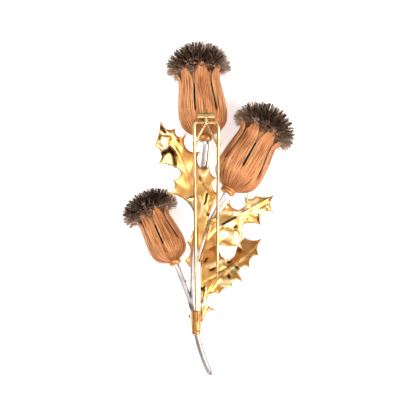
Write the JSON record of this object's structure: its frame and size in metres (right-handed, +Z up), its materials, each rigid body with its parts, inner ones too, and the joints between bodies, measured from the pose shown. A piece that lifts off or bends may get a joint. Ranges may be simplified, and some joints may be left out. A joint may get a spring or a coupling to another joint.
{
  "type": "brooch",
  "caption": "Thistle brooch lying on its face: flower heads with dark bristle tufts on silver stems, spiny gold leaves, hinged fork pin and a tube catch.",
  "frame": {"origin": "middle of the overall box, on the plane that the brooch rests on", "axes": "+Z up from the front to the back with the pin, +Y from the stem's tail to the top flower"},
  "size_m": [0.0532, 0.1046, 0.0233],
  "materials": {
    "rose_gold": "satin, engraved lengthwise",
    "yellow_gold": "polished",
    "dark_silver": "oxidised",
    "pale_silver": "satin",
    "pale_gold": "polished",
    "catch_gold": "satin"
  },
  "bodies": {
    "brooch": {"top_calyx": "rose_gold", "top_collar": "yellow_gold", "top_tuft": "dark_silver", "right_calyx": "rose_gold", "right_collar": "yellow_gold", "right_tuft": "dark_silver", "left_calyx": "rose_gold", "left_collar": "yellow_gold", "left_tuft": "dark_silver", "stems": "pale_silver", "upper_left_leaf": "yellow_gold", "upper_right_leaf": "yellow_gold", "lower_right_leaf": "yellow_gold", "front_leaf": "yellow_gold", "hinge_knuckles": "pale_gold", "hinge_rivet": "pale_gold", "catch_tube": "catch_gold", "left_strut": "yellow_gold", "right_strut": "yellow_gold"},
    "pin": {"pin_fork": "pale_gold"},
    "slide": {"catch_slider": "pale_gold"}
  },
  "joints": [
    {"name": "pin_swing", "type": "hinge", "parent": "brooch", "child": "pin", "pos_m": [-0.00028, 0.02868, 0.02213], "axis": [-1, 0, 0], "range_deg": [0, 50]},
    {"name": "catch_slide", "type": "slide", "parent": "brooch", "child": "slide", "axis": [0.0085, -0.9941, -0.1077], "range_m": [0, 0.0032]}
  ]
}
